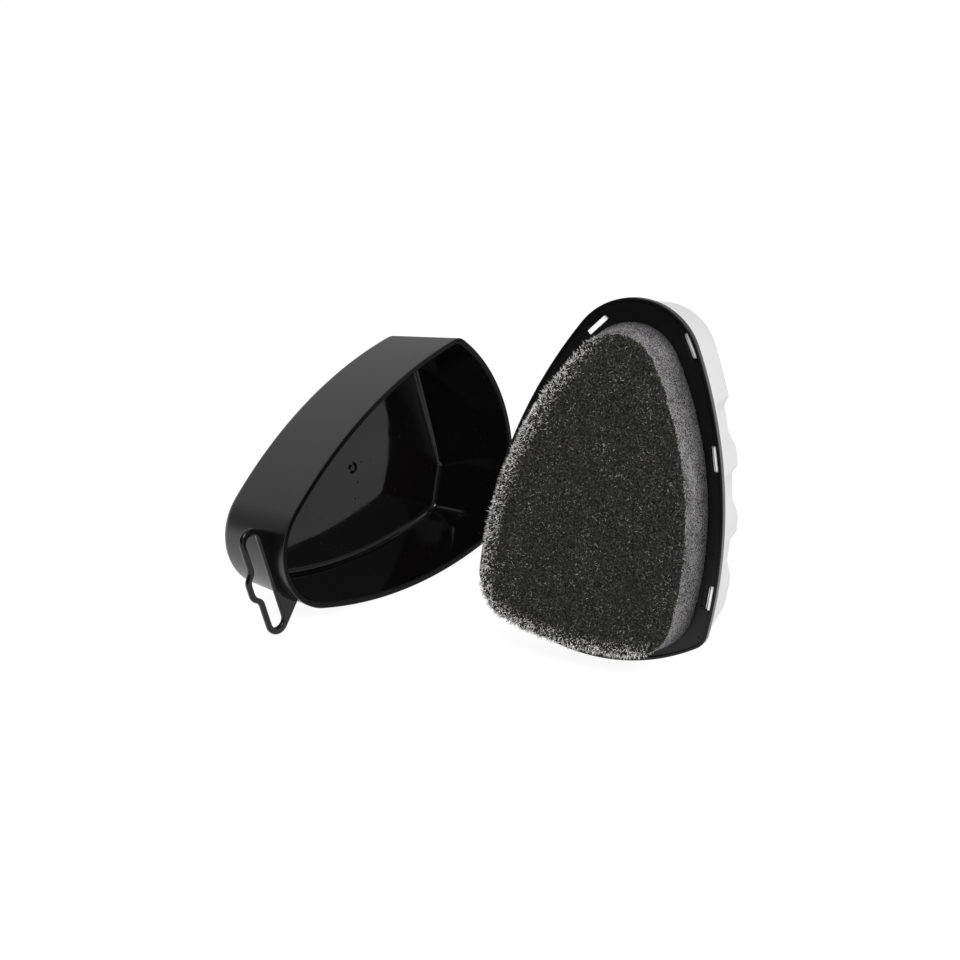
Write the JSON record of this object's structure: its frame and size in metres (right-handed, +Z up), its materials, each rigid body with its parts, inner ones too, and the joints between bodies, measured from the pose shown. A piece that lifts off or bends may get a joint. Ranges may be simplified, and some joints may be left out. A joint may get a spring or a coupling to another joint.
{
  "type": "shoe shine sponge",
  "caption": "Handheld shoe shine sponge with a foam pad on a carrier plate and a grooved grip, and its cup-shaped cap with a hanging tab lying beside it.",
  "frame": {"origin": "middle of the bounding box in plan, on the floor that both groups stand on", "axes": "+Z up; +X to the right as in the picture, with the cap at -X and the sponge unit at +X; +Y away from the camera"},
  "size_m": [0.168, 0.1422, 0.1141],
  "materials": {
    "satin_black": "satin outside, glossier inside",
    "black_plastic": "satin",
    "white_plastic": "semi-gloss",
    "grey_foam": "fine open-cell foam",
    "dark_face": "coarse open-cell foam",
    "soaked_foam": "wet foam",
    "clear_film": "thin sheet"
  },
  "bodies": {
    "sponge_unit": {"carrier_plate": "black_plastic", "handle_shell": "white_plastic", "foam_pad": "grey_foam", "polishing_face": "dark_face", "reservoir_foam": "soaked_foam", "feed_membrane": "clear_film"},
    "cap": {"cap": "satin_black"}
  },
  "joints": [
    {"name": "cap_pull_off", "type": "slide", "parent": "sponge_unit", "child": "cap", "axis": [-0.745, 0.6671, 0], "range_m": [0, 0.06]}
  ]
}
